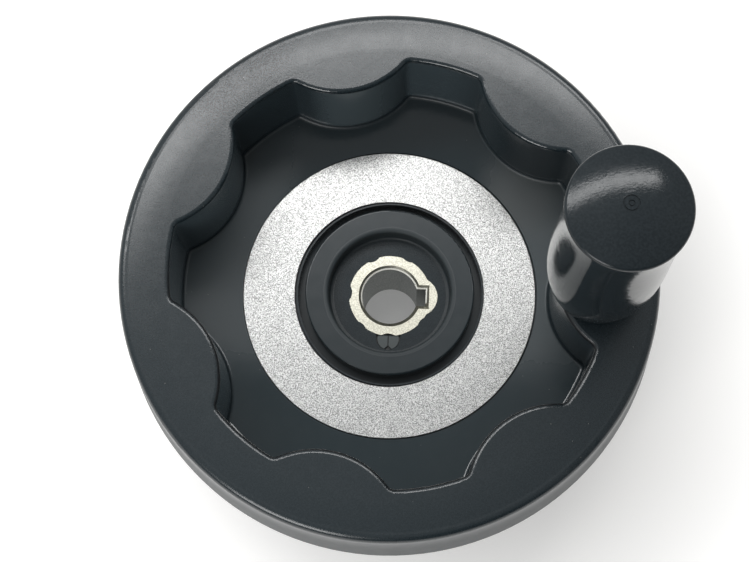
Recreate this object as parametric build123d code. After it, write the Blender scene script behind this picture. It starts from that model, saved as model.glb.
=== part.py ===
from build123d import *
import math
import os

# Machine handwheel with a revolving handle.
# Axis of the wheel = Z, back of the hub bush on Z = 0, handle on the +X side.
# All lengths in millimetres, angles in degrees.

# ---- rim ------------------------------------------------------------------
wheel_d = 150.0            # largest diameter, round the foot of the rim
face_z = 62.0              # rim face above the back of the hub bush
rim_h = 24.0               # rim face to the foot of the rim
rim_draft = 4.4            # the outer side leans out towards the foot
rim_edge_r = 2.6           # rounding between face and outer side
rim_foot_r = 1.2           # rounding round the foot
face_slope_w = 8.6         # outer part of the face, which is not quite flat
face_drop = 0.45           # and falls by this much towards the outer edge
skirt_t = 5.0              # wall of the outer side
flange_t = 5.5             # wall under the rim face

# ---- finger wave and dish ---------------------------------------------------
lobe_count = 7
rim_w = 15.6               # largest radius to the bottom of the finger pockets
lobe_r = 24.2              # rounding of each lobe
lobe_reach = 8.2           # the lobes stand this far in from the pockets
grip_lobe_r = 22.6         # the lobe under the handle
grip_lobe_reach = 14.0     # it reaches further in
corner_r = 2.4             # upright corners of the pockets
wall_draft = 0.5           # the dish narrows towards its floor
lip_r = 1.2                # rounding of the wave's upper edge
dish_depth = 30.7          # rim face to the flat middle of the dish floor
floor_rise = 1.6           # the floor outside the face ring rises this much to the wall
floor_r = 1.0              # fillet between wall and floor
wall_t = 5.0               # wall of the dish
web_t = 6.5                # floor of the dish
web_edge_r = 4.0           # outer rounding under the dish

# ---- stiffening at the back ---------------------------------------------------
rib_t = 3.0
rib_recess = 3.0           # channel ribs stay this far inside the foot
gusset_t = 3.6
gusset_reach = 49.0        # wheel axis to the outer end of the hub gussets
gusset_drop = 17.0         # height of the gussets down the hub
hub_back_r = 22.0          # hub radius at the back end
hub_draft = 1.5
hub_back_edge_r = 1.2

# ---- front of the hub -----------------------------------------------------------
boss_r = 24.1              # raised ring round the recess
boss_h = 2.7               # its height above the dish floor
boss_outer_edge_r = 0.5
boss_inner_edge_r = 1.0
recess_r = 17.4            # round recess inside the ring
recess_edge_r = 0.8
groove_w = 2.2             # groove outside the ring
groove_depth = 4.0

# ---- aluminium face ring ----------------------------------------------------------
ring_margin = 3.6          # deep lobe to the ring's outer edge
ring_inner_r = 27.0
ring_t = 1.2
ring_clearance = 0.3       # radial gap in its recess
ring_proud = 0.1           # it stands this far out of the dish floor
ring_shift = 0.2           # it lies a little to the -X side of its recess
ring_edge_c = 0.15

# ---- hub bush -----------------------------------------------------------------------
bore_d = 16.0
bore_c = 1.0               # chamfer at both ends of bore and key slot
key_w = 5.0
key_depth = 2.3            # key slot beyond the bore
bush_l = 28.2
bush_r = 11.75
flute_depths = {66: 0.4, 116: 0.65, 178: 0.85, 229: 0.4, 270: 0.7, 322: 0.35}   # by angle
flute_r = 3.4              # anti-turn flutes in the outer surface
flute_edge_r = 1.0
key_pad_r = 5.7            # thickening of the bush behind the key slot
key_pad_x = 8.0
lock_r = 14.5              # flange inside the moulding, stops end play
lock_t = 4.0
lock_z = 9.0
bush_proud = 0.15          # bush stands out of the recess at the front

# ---- moulded mark beside the bush -------------------------------------------------------
mark_w = 7.0               # width of its pocket
mark_reach = 15.8          # wheel axis to the pocket's round end
mark_depth = 0.9
mark_pad_w = 2.7
mark_pad_l = 3.9
mark_pad_h = 0.75
mark_pad_gap = 0.3
mark_pad_edge_r = 0.45

# ---- handle seat: threaded insert and spindle -----------------------------------------------
handle_inset = 18.6        # largest radius of the wheel to the handle axis
insert_r = 6.5
insert_l = 15.0
insert_groove_w = 2.0
insert_groove_depth = 0.8
insert_edge_c = 0.5
boss_wall_t = 5.0          # moulding round the insert
boss_floor_t = 4.0         # moulding under the insert
stud_r = 4.0               # M8 end of the spindle
stud_clearance = 0.05
stud_gap = 1.5             # free depth under the stud
collar_r = 8.5
collar_t = 2.4
collar_flats = 14.0        # width across the two wrench flats
collar_c = 0.4
shank_r = 5.0
shank_l = 55.0
shank_c = 0.8
snap_from_end = 5.0        # snap ring to the end of the shank
snap_wire_r = 0.7
snap_seat_depth = 0.7      # depth of its seat in the shank
snap_seat_play = 0.1
snap_opening = 50.0

# ---- handle sleeve ------------------------------------------------------------------------------
sleeve_gap = 0.4           # sleeve foot above the rim face
sleeve_l = 69.8            # foot to the edge of the domed end
sleeve_foot_r = 13.15
belly_r = 15.25            # thickest place of the lower half
belly_h = 30.0
waist_r = 14.7             # slimmest place under the domed end
waist_h = 55.0
sleeve_top_r = 15.3
dome_h = 3.6
sleeve_foot_edge_r = 0.7
sleeve_top_edge_r = 1.2
sleeve_run = 0.07          # radial running clearance on the shank
sleeve_end_gap = 2.0       # free depth beyond the shank
collar_clearance = 0.4     # radial gap round the collar
collar_lift = 0.3          # sleeve above the collar
snap_clearance = 0.5       # gap round the snap ring in the sleeve
gate_rings = ((2.05, 0.45), (0.8, 0.3))   # two round marks at the middle of the dome: radius, width
gate_depth = 0.3

# ---- levels and radii worked out from the above -------------------------------------------------------
wheel_r = wheel_d / 2
pocket_r = wheel_r - rim_w
lobe_axis_r = pocket_r - lobe_reach + lobe_r
grip_lobe_axis_r = pocket_r - grip_lobe_reach + grip_lobe_r
handle_r = wheel_r - handle_inset
ring_outer_r = grip_lobe_axis_r - grip_lobe_r - ring_margin
slope = math.tan(math.radians(rim_draft))
foot_corner_r = wheel_r + rim_foot_r * (slope + 1 / math.cos(math.radians(rim_draft)) - 1)
foot_z = face_z - rim_h
edge_corner_r = foot_corner_r - rim_h * slope
crown_r = edge_corner_r - rim_edge_r
face_flat_r = crown_r - face_slope_w
floor_z = face_z - dish_depth
web_z = floor_z - web_t
boss_z = floor_z + boss_h
recess_z = bush_l - bush_proud
pitch = 360 / lobe_count
collar_z = face_z + collar_t
shank_end_z = collar_z + shank_l
snap_z = shank_end_z - snap_from_end
snap_ring_r = shank_r - snap_seat_depth + snap_wire_r
sleeve_z = face_z + sleeve_gap
sleeve_edge_z = sleeve_z + sleeve_l
sleeve_bore_r = shank_r + sleeve_run


def ring_of(count, part, phase=0.0):
    """Copies of a part spread evenly round the wheel axis."""
    return [Rot(0, 0, phase + k * 360 / count) * part for k in range(count)]


def rounded(section, corners):
    """Round chosen corners of a flat section: {(x, y): radius}."""
    for (x, y), radius in corners.items():
        corner = section.vertices().sort_by_distance(Vector(x, y, 0))[0]
        section = fillet(corner, radius)
    return section


def turned(section):
    """Revolve a section drawn as (radius, height) round the Z axis."""
    return revolve(Plane.XZ * section, Axis.Z)


def plate(outline, z, thickness):
    """Flat outline made solid upwards from height z."""
    return extrude(Pos(0, 0, z) * outline, amount=thickness)


# ---- wheel body ---------------------------------------------------------------------------------------
def wave_outline(grow=0.0):
    """Outline of the finger wave, moved outwards by a wall thickness."""
    outline = Circle(pocket_r + grow)
    for k in range(lobe_count):
        radius, axis_r = (grip_lobe_r, grip_lobe_axis_r) if k == 0 else (lobe_r, lobe_axis_r)
        outline -= Rot(0, 0, k * pitch) * Pos(axis_r, 0) * Circle(radius - grow)
    return fillet(outline.vertices(), corner_r + grow)


def wave_block(grow, top_z, bottom_z):
    """Block inside the finger wave, narrowing downwards."""
    narrowing = (top_z - bottom_z) * math.tan(math.radians(wall_draft))
    top = Pos(0, 0, top_z) * wave_outline(grow)
    bottom = Pos(0, 0, bottom_z) * wave_outline(grow - narrowing)
    return loft([bottom, top], ruled=True)


def dish_outside():
    """Outside of the dish wall with its rounded bottom edge."""
    block = wave_block(wall_t, face_z - flange_t / 2, web_z)
    return fillet(block.edges().group_by(Axis.Z)[0], web_edge_r)


def dish_inside():
    """Hollow of the dish: its floor is flat in the middle and rises outside the face ring."""
    flat_r = ring_outer_r + ring_clearance
    rise_slope = floor_rise / (pocket_r - flat_r)
    hollow = wave_block(0, face_z, floor_z) & turned(make_face(Polyline(
        (0, floor_z),
        (flat_r, floor_z),
        (wheel_r, floor_z + (wheel_r - flat_r) * rise_slope),
        (wheel_r, face_z),
        (0, face_z),
        close=True,
    )))
    rising_floor = hollow.faces().filter_by(GeomType.CONE).sort_by(SortBy.AREA)[-1]
    return fillet(rising_floor.outer_wire().edges(), floor_r)


def rim_shell():
    """Rim face and drafted outer side, open underneath."""
    crown_z = face_z - face_drop
    inner_foot_r = foot_corner_r - skirt_t
    inner_top_r = inner_foot_r - (rim_h - flange_t) * slope
    inner_r = grip_lobe_axis_r - grip_lobe_r - wall_t
    crown = ThreePointArc(
        (face_flat_r, face_z),
        ((face_flat_r + crown_r) / 2, face_z - face_drop / 4),
        (crown_r, crown_z),
    )
    rest = Polyline(
        (crown_r, crown_z),
        (edge_corner_r, crown_z),
        (foot_corner_r, foot_z),
        (inner_foot_r, foot_z),
        (inner_top_r, face_z - flange_t),
        (inner_r, face_z - flange_t),
        (inner_r, face_z),
        (face_flat_r, face_z),
    )
    return turned(rounded(make_face([crown, rest]), {
        (edge_corner_r, crown_z): rim_edge_r - face_drop,
        (foot_corner_r, foot_z): rim_foot_r,
        (inner_foot_r, foot_z): rim_foot_r,
        (inner_top_r, face_z - flange_t): rim_edge_r,
    }))


def hub_core():
    """Hub with raised front ring, recess and a drafted back end."""
    spread = web_z * math.tan(math.radians(hub_draft))
    section = make_face(Polyline(
        (0, 0),
        (hub_back_r, 0),
        (hub_back_r + spread, web_z),
        (boss_r, web_z),
        (boss_r, boss_z),
        (recess_r, boss_z),
        (recess_r, recess_z),
        (0, recess_z),
        close=True,
    ))
    return turned(rounded(section, {
        (hub_back_r, 0): hub_back_edge_r,
        (boss_r, boss_z): boss_outer_edge_r,
        (recess_r, boss_z): boss_inner_edge_r,
        (recess_r, recess_z): recess_edge_r,
    }))


def channel_rib():
    """Radial rib between the dish wall and the outer side."""
    inner = lobe_axis_r - lobe_r + wall_t / 2
    outer = wheel_r - skirt_t
    bottom = foot_z + rib_recess
    top = face_z - flange_t / 2
    middle = ((inner + outer) / 2, 0, (bottom + top) / 2)
    return Pos(*middle) * Box(outer - inner, rib_t, top - bottom)


def gusset():
    """Sloping web between the hub and the underside of the dish."""
    inner = hub_back_r - hub_back_edge_r
    top = web_z + web_t / 2
    section = make_face(Polyline(
        (inner, top),
        (gusset_reach, top),
        (gusset_reach, web_z),
        (hub_back_r, web_z - gusset_drop),
        (inner, web_z - gusset_drop),
        close=True,
    ))
    return extrude(Plane.XZ * section, amount=gusset_t / 2, both=True)


def insert_boss():
    """Column in the deep lobe, round the threaded insert."""
    bottom = face_z - insert_l - boss_floor_t
    return Pos(handle_r, 0) * plate(Circle(insert_r + boss_wall_t), bottom, face_z - flange_t / 2 - bottom)


def groove_and_ring_recess():
    """Groove outside the raised ring, and the flat seat of the face ring."""
    groove = Circle(boss_r + groove_w) - Circle(boss_r)
    seat = Circle(ring_outer_r + ring_clearance) - Circle(ring_inner_r - ring_clearance)
    seat_z = floor_z + ring_proud - ring_t
    return [plate(groove, floor_z - groove_depth, groove_depth), plate(seat, seat_z, floor_z - seat_z)]


def mark():
    """U-shaped pocket that runs out of the bush's edge, and its two pads."""
    end_r = mark_w / 2
    straight = mark_reach - end_r
    pocket_z = recess_z - mark_depth
    outline = Pos(0, -straight / 2) * Rectangle(mark_w, straight) + Pos(0, -straight) * Circle(end_r)
    pads = []
    top_y = mark_pad_l - mark_reach + mark_pad_gap
    tip_y = top_y - mark_pad_l
    for side in (-1, 1):
        inner_x = side * mark_pad_gap / 2
        outer_x = inner_x + side * mark_pad_w
        tip_x = inner_x + side * mark_pad_w / 3
        shoulder = (tip_x + side * mark_pad_w / 2, tip_y + mark_pad_l / 4)
        pad = make_face([
            Polyline((inner_x, tip_y + mark_pad_l / 4), (inner_x, top_y), (outer_x, top_y)),
            ThreePointArc((outer_x, top_y), shoulder, (tip_x, tip_y)),
            Line((tip_x, tip_y), (inner_x, tip_y + mark_pad_l / 4)),
        ])
        pad = rounded(pad, {(tip_x, tip_y): mark_pad_edge_r})
        pads.append(plate(pad, pocket_z, mark_pad_h))
    return plate(outline, pocket_z, mark_depth), pads


def wheel_body():
    body = rim_shell() + dish_outside()
    body += ring_of(2 * lobe_count, channel_rib())
    body += ring_of(lobe_count, gusset())
    body += insert_boss()
    body -= dish_inside()
    face = body.faces().filter_by(Plane.XY).sort_by(Axis.Z)[-1]
    body = fillet(face.inner_wires()[0].edges(), lip_r)
    body -= plate(Circle(recess_r), recess_z, boss_z)
    body += hub_core()
    body -= groove_and_ring_recess()
    pocket, pads = mark()
    body = body - pocket + pads
    return body - bush_blank() - insert_blank()


# ---- hub bush --------------------------------------------------------------------------------------------
def bush_blank():
    """Bush without its bore: fluted outside, key pad and hidden lock flange."""
    outline = Circle(bush_r) + Pos(key_pad_x, 0) * Circle(key_pad_r)
    for angle, depth in flute_depths.items():
        outline -= Rot(0, 0, angle) * Pos(bush_r + flute_r - depth, 0) * Circle(flute_r)
    outline = fillet(outline.vertices(), flute_edge_r)
    return plate(outline, 0, bush_l) + plate(Circle(lock_r), lock_z, lock_t)


def hub_bush():
    key_l = bore_d / 2 + key_depth
    opening = Circle(bore_d / 2) + Pos(key_l / 2, 0) * Rectangle(key_l, key_w)
    bush = bush_blank() - plate(opening, 0, bush_l)
    for end in (0, -1):
        face = bush.faces().filter_by(Plane.XY).sort_by(Axis.Z)[end]
        bush = chamfer(face.inner_wires()[0].edges(), bore_c)
    return bush


# ---- face ring ---------------------------------------------------------------------------------------------
def face_ring():
    ring = plate(Circle(ring_outer_r) - Circle(ring_inner_r), floor_z + ring_proud - ring_t, ring_t)
    ring = chamfer(ring.edges().group_by(Axis.Z)[-1], ring_edge_c)
    return Pos(-ring_shift, 0) * ring


# ---- threaded insert -----------------------------------------------------------------------------------------
def insert_blank():
    """Insert without its thread, with two locking grooves."""
    blank = plate(Circle(insert_r), face_z - insert_l, insert_l)
    groove = Circle(insert_r) - Circle(insert_r - insert_groove_depth)
    for share in (1 / 3, 2 / 3):
        middle = face_z - insert_l * share
        blank -= plate(groove, middle - insert_groove_w / 2, insert_groove_w)
    return Pos(handle_r, 0) * blank


def thread_insert():
    hole = plate(Circle(stud_r + stud_clearance), face_z - insert_l, insert_l)
    insert = insert_blank() - Pos(handle_r, 0) * hole
    mouth = insert.faces().filter_by(Plane.XY).sort_by(Axis.Z)[-1].inner_wires()[0].edges()
    return chamfer(mouth, insert_edge_c)


# ---- handle spindle --------------------------------------------------------------------------------------------
def handle_spindle():
    stud_z = face_z - insert_l + stud_gap
    seat_r = shank_r - snap_seat_depth
    seat_half = snap_wire_r + snap_seat_play
    section = make_face(Polyline(
        (0, stud_z),
        (stud_r - shank_c, stud_z),
        (stud_r, stud_z + shank_c),
        (stud_r, face_z),
        (collar_r, face_z),
        (collar_r, collar_z - collar_c),
        (collar_r - collar_c, collar_z),
        (shank_r, collar_z),
        (shank_r, snap_z - seat_half),
        (seat_r, snap_z - seat_half),
        (seat_r, snap_z + seat_half),
        (shank_r, snap_z + seat_half),
        (shank_r, shank_end_z - shank_c),
        (shank_r - shank_c, shank_end_z),
        (0, shank_end_z),
        close=True,
    ))
    between_flats = Box(2 * collar_r, collar_flats, 2 * shank_end_z)
    return Pos(handle_r, 0) * (turned(section) & between_flats)


def snap_ring():
    """Open spring wire ring that keeps the sleeve on the shank."""
    wire = Plane.XZ * Pos(snap_ring_r, snap_z) * Circle(snap_wire_r)
    turn = revolve(wire, Axis.Z, 360 - snap_opening)
    return Pos(handle_r, 0) * turn


# ---- handle sleeve ------------------------------------------------------------------------------------------------
def handle_sleeve():
    apex_z = sleeve_edge_z + dome_h
    dome_r = (sleeve_top_r ** 2 + dome_h ** 2) / (2 * dome_h)
    half = math.asin(sleeve_top_r / dome_r) / 2
    dome_middle = (dome_r * math.sin(half), apex_z - dome_r * (1 - math.cos(half)))
    drill_tip = sleeve_bore_r / 2
    bore_end_z = shank_end_z + sleeve_end_gap
    mouth_z = collar_z + collar_lift
    mouth_r = collar_r + collar_clearance
    outside = Spline(
        (sleeve_foot_r, sleeve_z),
        (belly_r, sleeve_z + belly_h),
        (waist_r, sleeve_z + waist_h),
        (sleeve_top_r, sleeve_edge_z),
    )
    dome = ThreePointArc((sleeve_top_r, sleeve_edge_z), dome_middle, (0, apex_z))
    inside = Polyline(
        (0, apex_z),
        (0, bore_end_z + drill_tip),
        (sleeve_bore_r, bore_end_z),
        (sleeve_bore_r, mouth_z),
        (mouth_r, mouth_z),
        (mouth_r, sleeve_z),
        (sleeve_foot_r, sleeve_z),
    )
    section = rounded(make_face([outside, dome, inside]), {
        (sleeve_foot_r, sleeve_z): sleeve_foot_edge_r,
        (sleeve_top_r, sleeve_edge_z): sleeve_top_edge_r,
    })
    sleeve = turned(section)
    snap_room = snap_wire_r + snap_clearance
    sleeve -= plate(Circle(snap_ring_r + snap_room), snap_z - snap_room, 2 * snap_room)
    for radius, width in gate_rings:
        sleeve -= plate(Circle(radius) - Circle(radius - width), apex_z - gate_depth, gate_depth)
    return Pos(handle_r, 0) * sleeve


parts = {
    "wheel_body": wheel_body(),
    "face_ring": face_ring(),
    "hub_bush": hub_bush(),
    "thread_insert": thread_insert(),
    "handle_spindle": handle_spindle(),
    "snap_ring": snap_ring(),
    "handle_sleeve": handle_sleeve(),
}

os.makedirs("parts", exist_ok=True)
for name, solid in parts.items():
    export_step(solid, f"parts/{name}.step")
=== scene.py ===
import bpy
import math
from mathutils import Matrix, Vector


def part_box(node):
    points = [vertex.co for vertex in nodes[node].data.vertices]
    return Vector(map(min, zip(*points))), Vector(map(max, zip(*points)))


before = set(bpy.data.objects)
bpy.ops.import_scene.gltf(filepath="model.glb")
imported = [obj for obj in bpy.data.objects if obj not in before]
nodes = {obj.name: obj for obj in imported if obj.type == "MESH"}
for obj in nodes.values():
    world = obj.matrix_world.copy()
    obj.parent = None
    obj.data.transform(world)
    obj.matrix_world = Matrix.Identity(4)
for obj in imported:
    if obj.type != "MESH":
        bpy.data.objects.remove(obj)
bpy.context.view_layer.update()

# ---- places on the part, in metres ---------------------------------------------------------
RING_PROUD = 0.0001   # how far the face ring stands above the dish floor
DOME_RISE = 0.0036    # height of the handle's domed end
bush_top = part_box("hub_bush")[1].z
floor_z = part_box("face_ring")[1].z - RING_PROUD
dome_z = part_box("handle_sleeve")[1].z - DOME_RISE
handle_x = (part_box("handle_sleeve")[0].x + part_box("handle_sleeve")[1].x) / 2

# Limits of the zones that a material tells apart. Two numbers: where the zone starts and where
# it is full. Four numbers: the same, then where it starts to fade and where it ends.
DISH_RISE_FROM = 0.0421                              # the dish floor rises outside this radius
DISH_RISE = 0.0925                                   # height gained for each unit of radius
DISH_RADIUS = (DISH_RISE_FROM, 0.0424, 0.0598, 0.0602)
DISH_FLOOR_RADIUS = (0.0415, 0.0420)
DISH_FLOOR_ABOVE = (-0.0015, -0.0010, 0.00006, 0.00012)
FAR_FLOOR_Y = (0.015, 0.042)                         # the floor under the lobes at +Y, painted in shade
SIDE_FLOOR_X = (0.020, 0.038)                        # the floor at both sides of the hub
SIDE_FLOOR_Y = (-0.032, -0.008)
GLOW_PLACE = (0.038, 0.031)                          # the floor beside the handle, where a glow is painted
GLOW_NEAR = (0.018, 0.003)
WALL_ABOVE = (0.0006, 0.0016)
WALL_Z = (0.0612, 0.0604)
WALL_OUT = (0.0500, 0.0570)                          # from a lobe's nose to a pocket's corner: painted light at the nose, painted shade in the corner
# the dish wall is painted in shade towards the right
WALL_RIGHT_X = (0.012, 0.034)
WALL_CORNER = (0.064, 0.076)                         # Y minus X: painted shade in the pockets at the upper left
FOOT_ABOVE = (0.00004, 0.0001, 0.0010, 0.0013)
LIP_Z = (0.06198, 0.0618)
UNDER_LIP_Z = (0.0600, 0.0606, 0.06176, 0.06188)
UNDER_LIP_Y = (0.005, -0.01)                         # the near half of the wave, where shade is painted under the lip
RIM_SIDE_RADIUS = (0.0730, 0.0742)                   # the rim's outer side
RIM_SIDE_Z = (0.0605, 0.0590)
WORN_PLACE = (-0.044, 0.054)                         # the worn patch on the rim's face
WORN_NEAR = (0.026, 0.008)
WORN_Z = (0.0600, 0.0610)
HUB_FRONT_Z = (0.0262, 0.0270)
BOSS_RADIUS = (0.0166, 0.0176, 0.0252, 0.0262)       # the hub's raised ring
RECESS_RADIUS = (0.0176, 0.0166)
RECESS_EDGE_RADIUS = (0.0160, 0.0165, 0.0185, 0.0190)
PADS_X = (0.0033, 0.0030)                            # the two pads of the moulded mark
PADS_Y = (-0.0160, -0.0157, -0.0120, -0.0116)
PADS_Z = (0.02785, 0.02789, 0.02794, 0.02798)
POCKET_X = (0.0040, 0.0037)                          # the pocket round the two pads, painted in shade
POCKET_Y = (-0.0168, -0.0164, -0.0111, -0.0108)
POCKET_Z = (0.02700, 0.02705, 0.02780, 0.02788)
DOME_FROM = (-0.0012, 0.0002)                        # from the foot of the handle's dome
BORE_DEPTH = (0.00085, 0.00105)                      # under the bush's end face; the bore below is painted in shade
BORE_EDGE_DEPTH = (0.00058, 0.00066, 0.00100, 0.00106)
BORE_EDGE_Y = (-0.0045, -0.001)                      # a highlight is painted on the far side of the bore's mouth only,
KEY_CORNER_Y = (-0.0020, -0.0014)                    # and not in the key slot's near corner
KEY_CORNER_X = (0.0074, 0.0068)


# ---- short calls for node trees ------------------------------------------------------------
def rgb(red, green=None, blue=None):
    """A colour for a socket; one number gives a grey."""
    return (red, red if green is None else green, red if blue is None else blue, 1.0)


class Nodes:
    """Adds and joins the nodes of one node tree."""

    def __init__(self, tree):
        self.tree = tree

    def new(self, kind):
        return self.tree.nodes.new("ShaderNode" + kind)

    def put(self, socket, value):
        """Link another socket to a socket, or set its value."""
        if isinstance(value, bpy.types.NodeSocket):
            self.tree.links.new(value, socket)
        else:
            socket.default_value = value

    def math(self, operation, a, b=0.0):
        made = self.new("Math")
        made.operation = operation
        self.put(made.inputs[0], a)
        self.put(made.inputs[1], b)
        return made.outputs[0]

    def product(self, first, *others):
        for other in others:
            first = self.math("MULTIPLY", first, other)
        return first

    def span(self, value, low, high, to_low=0.0, to_high=1.0):
        """A smooth step from to_low at low to to_high at high."""
        made = self.new("MapRange")
        made.interpolation_type = "SMOOTHSTEP"
        numbers = {"From Min": low, "From Max": high, "To Min": to_low, "To Max": to_high}
        for key, number in numbers.items():
            made.inputs[key].default_value = number
        self.put(made.inputs["Value"], value)
        return made.outputs["Result"]

    def within(self, value, limits):
        """1 inside a zone and 0 outside, from two or four limits (see above)."""
        start = self.span(value, limits[0], limits[1])
        if len(limits) == 2:
            return start
        return self.product(start, self.span(value, limits[3], limits[2]))


class Shader(Nodes):
    """A Principled material, painted in object coordinates."""

    def __init__(self, name, **inputs):
        self.material = bpy.data.materials.new(name)
        self.material.use_nodes = True
        super().__init__(self.material.node_tree)
        self.bsdf = self.tree.nodes["Principled BSDF"]
        for key, value in inputs.items():
            self.bsdf.inputs[key.replace("_", " ")].default_value = value
        self.place = self.new("TexCoord").outputs["Object"]

    def noise(self, per_mm, detail, rough):
        made = self.new("TexNoise")
        self.put(made.inputs["Vector"], self.place)
        made.inputs["Scale"].default_value = per_mm * 1000
        made.inputs["Detail"].default_value = detail
        made.inputs["Roughness"].default_value = rough
        return made.outputs["Fac"]

    def cells(self, per_mm):
        made = self.new("TexVoronoi")
        self.put(made.inputs["Vector"], self.place)
        made.inputs["Scale"].default_value = per_mm * 1000
        return made.outputs["Distance"]

    def mix(self, share, a, b):
        made = self.new("Mix")
        made.data_type = "RGBA"
        self.put(made.inputs["Factor"], share)
        self.put(made.inputs["A"], a)
        self.put(made.inputs["B"], b)
        return made.outputs["Result"]

    def axes(self):
        made = self.new("SeparateXYZ")
        self.put(made.inputs[0], self.place)
        return made.outputs

    def distance(self, centre_x=0.0, centre_y=0.0):
        """Distance from an upright axis."""
        x, y, _ = self.axes()
        dx = self.math("SUBTRACT", x, centre_x)
        dy = self.math("SUBTRACT", y, centre_y)
        return self.math("SQRT", self.math("ADD", self.product(dx, dx), self.product(dy, dy)))

    def bump(self, height, depth_mm, after=None):
        made = self.new("Bump")
        made.inputs["Strength"].default_value = 1.0
        made.inputs["Distance"].default_value = depth_mm / 1000
        self.put(made.inputs["Height"], height)
        if after:
            self.put(made.inputs["Normal"], after)
        return made.outputs["Normal"]

    def finish(self, colour, rough, normal):
        self.put(self.bsdf.inputs["Base Color"], colour)
        self.put(self.bsdf.inputs["Roughness"], rough)
        self.put(self.bsdf.inputs["Normal"], normal)
        return self.material


# ---- materials -----------------------------------------------------------------------------
def phenolic():
    """Moulded black phenolic of the wheel: satin, faintly mottled, each zone with its own gloss, with
    painted light and shade in the dish and in the pocket of the hub's mark.
    """
    s = Shader("phenolic_black", Specular_IOR_Level=0.5)
    x, y, z = s.axes()
    across = s.math("ABSOLUTE", x)
    radius = s.distance()
    cloud = s.noise(0.3, 3.0, 0.5)
    fine = s.noise(2.2, 3.0, 0.55)
    pitted = s.noise(2.0, 2.0, 0.6)
    dust = s.span(s.cells(0.3), 0.035, 0.02)

    # the dish: its floor, the foot of its wall, the wall and the lip
    past_rise = s.math("MAXIMUM", s.math("SUBTRACT", radius, DISH_RISE_FROM), 0.0)
    above = s.math("SUBTRACT", z, s.math("ADD", floor_z, s.product(past_rise, DISH_RISE)))
    in_dish = s.within(radius, DISH_RADIUS)
    on_wall = s.product(in_dish, s.within(above, WALL_ABOVE))
    wall = s.product(on_wall, s.within(z, WALL_Z))
    lip = s.product(on_wall, s.within(z, LIP_Z))
    # painted shade: a dark line under the near half of the lip, which is also rougher
    under_lip_painted_shade = s.product(s.within(z, UNDER_LIP_Z), in_dish, s.within(y, UNDER_LIP_Y))
    foot = s.product(in_dish, s.within(above, FOOT_ABOVE))
    dish = s.product(s.within(above, DISH_FLOOR_ABOVE), s.within(radius, DISH_FLOOR_RADIUS))
    sides = s.product(s.within(across, SIDE_FLOOR_X), s.within(y, SIDE_FLOOR_Y), dish)
    # painted shade on the dish floor under the far lobes
    far_floor_painted_shade = s.product(dish, s.within(y, FAR_FLOOR_Y))
    # painted light: a pale glow on the floor beside the handle, which is also rougher there
    matte_painted_glow = s.product(s.within(s.distance(*GLOW_PLACE), GLOW_NEAR), dish)

    # the rim
    rim_side = s.product(s.within(radius, RIM_SIDE_RADIUS), s.within(z, RIM_SIDE_Z))
    worn = s.product(s.within(s.distance(*WORN_PLACE), WORN_NEAR), s.within(z, WORN_Z))

    # the hub: its raised ring, the recess in it and the moulded mark
    front = s.within(z, HUB_FRONT_Z)
    boss = s.product(s.within(radius, BOSS_RADIUS), front)
    recess = s.product(s.within(radius, RECESS_RADIUS), front)
    edges = s.product(s.within(radius, RECESS_EDGE_RADIUS), front)
    pads = s.product(s.within(y, PADS_Y), s.within(across, PADS_X), s.within(z, PADS_Z))
    # painted shade: the pocket round the pads is coloured darker, and is rougher
    pad_pocket_painted_shade = s.product(s.within(y, POCKET_Y), s.within(across, POCKET_X), s.within(z, POCKET_Z))

    rough = s.span(cloud, 0.3, 0.7, 0.235, 0.26)
    rougher = (
        (boss, 0.01), (recess, -0.07), (lip, -0.07), (foot, 0.18), (dish, -0.12), (sides, 0.25),
        (matte_painted_glow, 0.10), (edges, 0.35), (under_lip_painted_shade, 0.25), (pad_pocket_painted_shade, 0.3), (rim_side, 0.22),
    )
    for zone, more in rougher:
        rough = s.math("ADD", rough, s.product(zone, more))

    # The dish wall's colour is painted light and shade: pale at the lobes' noses, painted shade in
    # the pockets' corners at the upper left and on the walls at the right.
    in_corner = s.within(s.math("SUBTRACT", y, x), WALL_CORNER)
    corner = s.mix(in_corner, rgb(0.060, 0.080, 0.090), rgb(0.024, 0.035, 0.041))
    wall_painted_light_and_shade = s.mix(s.within(radius, WALL_OUT), rgb(0.085, 0.108, 0.118), corner)
    wall_painted_light_and_shade = s.mix(s.within(x, WALL_RIGHT_X), wall_painted_light_and_shade, rgb(0.009, 0.014, 0.017))
    mottled = s.span(fine, 0.35, 0.7)
    colour = s.mix(mottled, rgb(0.0080, 0.0135, 0.0165), rgb(0.0125, 0.0190, 0.0225))
    layers = (
        (boss, 0.8, rgb(0.0140, 0.0205, 0.0235)),
        # painted light and shade on the dish wall
        (wall, 0.9, wall_painted_light_and_shade),
        # a teal cast of the light in the dish, painted on its floor
        (dish, 0.8, rgb(0.006, 0.0170, 0.0215)),
        # painted shade on the far floor
        (far_floor_painted_shade, 0.8, rgb(0.003, 0.010, 0.013)),
        # painted glow beside the handle
        (matte_painted_glow, 0.75, rgb(0.050, 0.056, 0.057)),
        # painted shade under the lip
        (under_lip_painted_shade, 0.9, rgb(0.002, 0.003, 0.004)),
        (pads, 0.9, rgb(0.075, 0.085, 0.085)),
        # painted shade in the pads' pocket
        (pad_pocket_painted_shade, 0.9, rgb(0.003, 0.004, 0.004)),
        (dust, 0.6, rgb(0.3, 0.29, 0.27)),
        (s.product(worn, s.span(pitted, 0.5, 0.62)), 0.6, rgb(0.004)),
    )
    for zone, strength, tint in layers:
        colour = s.mix(s.product(zone, strength), colour, tint)

    waves = s.bump(s.noise(0.28, 2.0, 0.5), 0.018)
    grain = s.bump(fine, 0.005, after=waves)
    pits = s.bump(s.product(s.span(pitted, 0.45, 0.65), worn), -0.014, after=grain)
    return s.finish(colour, rough, pits)


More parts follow.
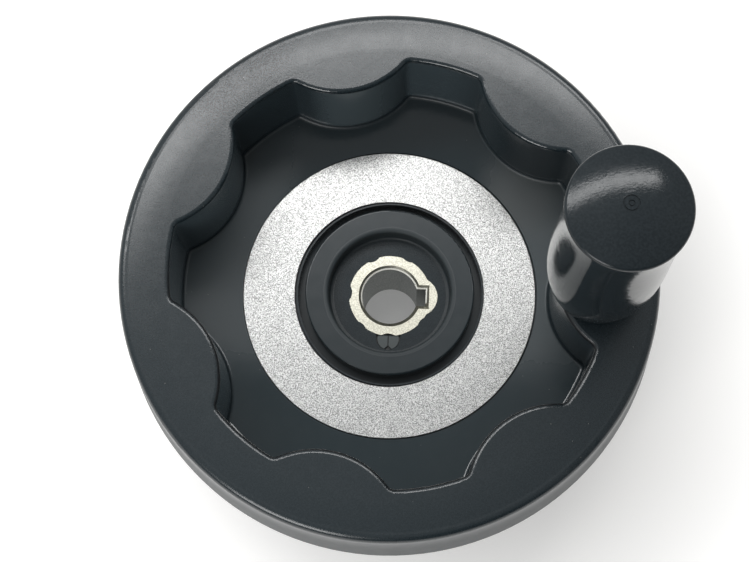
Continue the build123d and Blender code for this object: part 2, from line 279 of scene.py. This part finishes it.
def glossy_phenolic():
    """High gloss black of the handle, with a slight orange peel and a duller domed end."""
    s = Shader("handle_black", Specular_IOR_Level=0.29)
    _, _, z = s.axes()
    dome = s.within(s.math("SUBTRACT", z, dome_z), DOME_FROM)
    fine = s.noise(1.6, 2.0, 0.5)
    colour = s.mix(s.span(fine, 0.3, 0.7), rgb(0.0100, 0.0140, 0.0165), rgb(0.0150, 0.0200, 0.0230))
    rough = s.span(s.noise(0.5, 3.0, 0.6), 0.3, 0.7, 0.08, 0.13)
    rough = s.math("ADD", rough, s.product(dome, 0.05))
    peel = s.bump(s.noise(0.6, 2.0, 0.5), 0.03)
    mottle = s.bump(s.product(s.noise(1.8, 3.0, 0.6), dome), 0.026, after=peel)
    return s.finish(colour, rough, s.bump(fine, 0.010, after=mottle))


def blasted_aluminium():
    """Sand-blasted aluminium: a fine bright grain with a few dark specks."""
    s = Shader("aluminium_blasted", Metallic=1.0)
    grain = s.noise(3.8, 2.0, 0.7)
    patch = s.noise(0.25, 3.0, 0.5)
    specks = s.span(s.cells(0.5), 0.09, 0.05)
    colour = s.mix(s.span(grain, 0.36, 0.64), rgb(0.155, 0.155, 0.152), rgb(0.70, 0.70, 0.685))
    colour = s.mix(s.span(patch, 0.3, 0.7, 0.12, 0.0), colour, rgb(0.3))
    colour = s.mix(s.product(specks, 0.5), colour, rgb(0.08))
    rough = s.span(grain, 0.3, 0.7, 0.44, 0.32)
    return s.finish(colour, rough, s.bump(grain, 0.045))


def bush_metal():
    """Bright plated bush: warm and granular on its end face, with painted shade in the bore and a
    painted highlight on the far side of the bore's mouth.
    """
    s = Shader("bush_metal", Metallic=1.0)
    x, y, z = s.axes()
    grain = s.noise(2.4, 3.0, 0.6)
    depth = s.math("SUBTRACT", bush_top, z)
    inside = s.within(depth, BORE_DEPTH)
    off_corner = s.math("MAXIMUM", s.within(y, KEY_CORNER_Y), s.within(x, KEY_CORNER_X))
    # painted highlight: a pale, non-metal line on the far side of the bore's mouth
    mouth_painted_highlight = s.product(s.within(depth, BORE_EDGE_DEPTH), s.within(y, BORE_EDGE_Y), off_corner)
    # painted shade: the bore's wall is coloured darker than the end face
    bore_painted_shade = s.mix(s.span(grain, 0.3, 0.7), rgb(0.22, 0.235, 0.228), rgb(0.38, 0.395, 0.378))
    colour = s.mix(s.span(grain, 0.35, 0.65), rgb(0.41, 0.395, 0.33), rgb(0.64, 0.625, 0.535))
    colour = s.mix(inside, colour, bore_painted_shade)
    colour = s.mix(mouth_painted_highlight, colour, rgb(0.8, 0.79, 0.72))
    s.put(s.bsdf.inputs["Metallic"], s.math("SUBTRACT", 1.0, mouth_painted_highlight))
    rough = s.span(grain, 0.3, 0.7, 0.42, 0.3)
    return s.finish(colour, rough, s.bump(grain, 0.02))


def turned_metal(name, dark, light, smooth, dull):
    """Metal round the handle's axis, with the fine rings that a lathe tool leaves."""
    s = Shader(name, Metallic=1.0)
    _, _, z = s.axes()
    rings_per_m = 18000.0
    path = s.product(s.math("ADD", s.distance(handle_x), z), rings_per_m)
    rings = s.math("SINE", path)
    cloud = s.noise(0.6, 3.0, 0.6)
    colour = s.mix(s.span(cloud, 0.3, 0.7), dark, light)
    rough = s.span(s.math("ADD", cloud, s.product(rings, 0.1)), 0.3, 0.7, dull, smooth)
    return s.finish(colour, rough, s.bump(rings, 0.004))


BRASS = (rgb(0.55, 0.4, 0.16), rgb(0.8, 0.62, 0.3))
STEEL = (rgb(0.42, 0.42, 0.43), rgb(0.66, 0.66, 0.67))
SPRING_STEEL = (rgb(0.2, 0.2, 0.21), rgb(0.36, 0.36, 0.37))
looks = {
    "wheel_body": phenolic(),
    "face_ring": blasted_aluminium(),
    "hub_bush": bush_metal(),
    "handle_sleeve": glossy_phenolic(),
    "thread_insert": turned_metal("insert_brass", *BRASS, 0.25, 0.4),
    "handle_spindle": turned_metal("spindle_steel", *STEEL, 0.22, 0.38),
    "snap_ring": turned_metal("spring_steel", *SPRING_STEEL, 0.25, 0.4),
}
for name, material in looks.items():
    mesh = nodes[name].data
    mesh.materials.clear()
    mesh.materials.append(material)


# ---- floor ---------------------------------------------------------------------------------
FLOOR_HALF = 3.0
FLOOR_Z = -0.0002                # just under the hub's end, so that the two faces don't coincide
LIFT_CENTRE = (0.035, 0.0, 0.0)  # the lift is weaker near the wheel, whose shadow stays
LIFT_FROM, LIFT_TO = 0.05, 0.12  # distance from the lift's centre
LIFT_NEAR, LIFT_FAR = 0.17, 0.40


def paper():
    """Pale paper, lifted towards white for the camera's rays and for those that mirror or pass on."""
    material = bpy.data.materials.new("paper_floor")
    material.use_nodes = True
    s = Nodes(material.node_tree)
    s.tree.nodes.clear()
    diffuse = s.new("BsdfDiffuse")
    diffuse.inputs["Color"].default_value = rgb(0.81, 0.795, 0.775)
    rays = s.new("LightPath").outputs
    seen = s.math("MAXIMUM", rays["Is Camera Ray"], rays["Is Glossy Ray"])
    seen = s.math("MAXIMUM", seen, rays["Is Transmission Ray"])
    away = s.new("VectorMath")
    away.operation = "DISTANCE"
    s.put(away.inputs[0], s.new("TexCoord").outputs["Object"])
    away.inputs[1].default_value = LIFT_CENTRE
    strength = s.span(away.outputs["Value"], LIFT_FROM, LIFT_TO, LIFT_NEAR, LIFT_FAR)
    lift = s.new("Emission")
    s.put(lift.inputs["Strength"], s.product(seen, strength))
    both = s.new("AddShader")
    s.put(both.inputs[0], diffuse.outputs[0])
    s.put(both.inputs[1], lift.outputs[0])
    s.put(s.new("OutputMaterial").inputs["Surface"], both.outputs[0])
    return material


corners = [(x * FLOOR_HALF, y * FLOOR_HALF, 0) for x, y in ((-1, -1), (1, -1), (1, 1), (-1, 1))]
floor_mesh = bpy.data.meshes.new("floor")
floor_mesh.from_pydata(corners, [], [(0, 1, 2, 3)])
floor_mesh.materials.append(paper())
floor = bpy.data.objects.new("floor", floor_mesh)
bpy.context.scene.collection.objects.link(floor)
floor.location.z = FLOOR_Z


# ---- light ---------------------------------------------------------------------------------
world = bpy.data.worlds.new("studio")
world.use_nodes = True
bpy.context.scene.world = world
sky = Nodes(world.node_tree)
ways = sky.new("SeparateXYZ")
sky.put(ways.inputs[0], sky.new("TexCoord").outputs["Generated"])
strength = sky.product(
    sky.span(ways.outputs["X"], -0.35, 0.25, 0.75, 0.52),   # brighter at the left
    sky.span(ways.outputs["Y"], -0.3, 0.2, 0.72, 1.0),      # brighter behind the wheel
    sky.span(ways.outputs["Y"], -0.75, -0.42, 0.2, 1.0),    # dim low at the front
)
background = sky.tree.nodes["Background"]
background.inputs["Color"].default_value = rgb(0.95, 0.98, 1.0)
sky.put(background.inputs["Strength"], strength)

# name, centre, point it is turned to, width, height, radiance (1 is paper white)
LAMPS = (
    ("strip", (-0.08, 0.3145, 0.62), (0.0, 0.0, 0.08), 0.95, 0.125, 10.1),
    ("near_glow", (-0.2, -0.42, 0.30), (0.0, 0.0, 0.05), 0.25, 0.16, 9.0),
    ("dome_glint", (-0.20, -0.40, 0.47), (0.056, 0.0, 0.13), 0.20, 0.03, 14.0),
)
for name, centre, aim, width, height, radiance in LAMPS:
    data = bpy.data.lights.new(name, "AREA")
    data.shape = "RECTANGLE"
    data.size, data.size_y = width, height
    data.energy = math.pi * width * height * radiance
    lamp = bpy.data.objects.new(name, data)
    lamp.location = centre
    lamp.rotation_euler = (Vector(centre) - Vector(aim)).to_track_quat("Z", "Y").to_euler()
    bpy.context.scene.collection.objects.link(lamp)


# ---- camera, fitted to the photograph ------------------------------------------------------
CAMERA_PLACE = (0.00941, -0.11040, 0.5284)
CAMERA_VIEW = (-0.02702, 0.22327, -0.97438)
CAMERA_UP = (-0.03619, 0.97388, 0.22416)
CAMERA_LENS = 85.36
CAMERA_SENSOR = 36

camera_data = bpy.data.cameras.new("camera")
camera_data.lens = CAMERA_LENS
camera_data.sensor_width = CAMERA_SENSOR
camera_data.clip_start = 0.01
camera = bpy.data.objects.new("camera", camera_data)
view = Vector(CAMERA_VIEW).normalized()
right = view.cross(Vector(CAMERA_UP)).normalized()
up = right.cross(view)
turn = Matrix((right, up, -view)).transposed().to_4x4()
camera.matrix_world = Matrix.Translation(CAMERA_PLACE) @ turn
bpy.context.scene.collection.objects.link(camera)
bpy.context.scene.camera = camera
bpy.context.scene.view_settings.view_transform = "Standard"
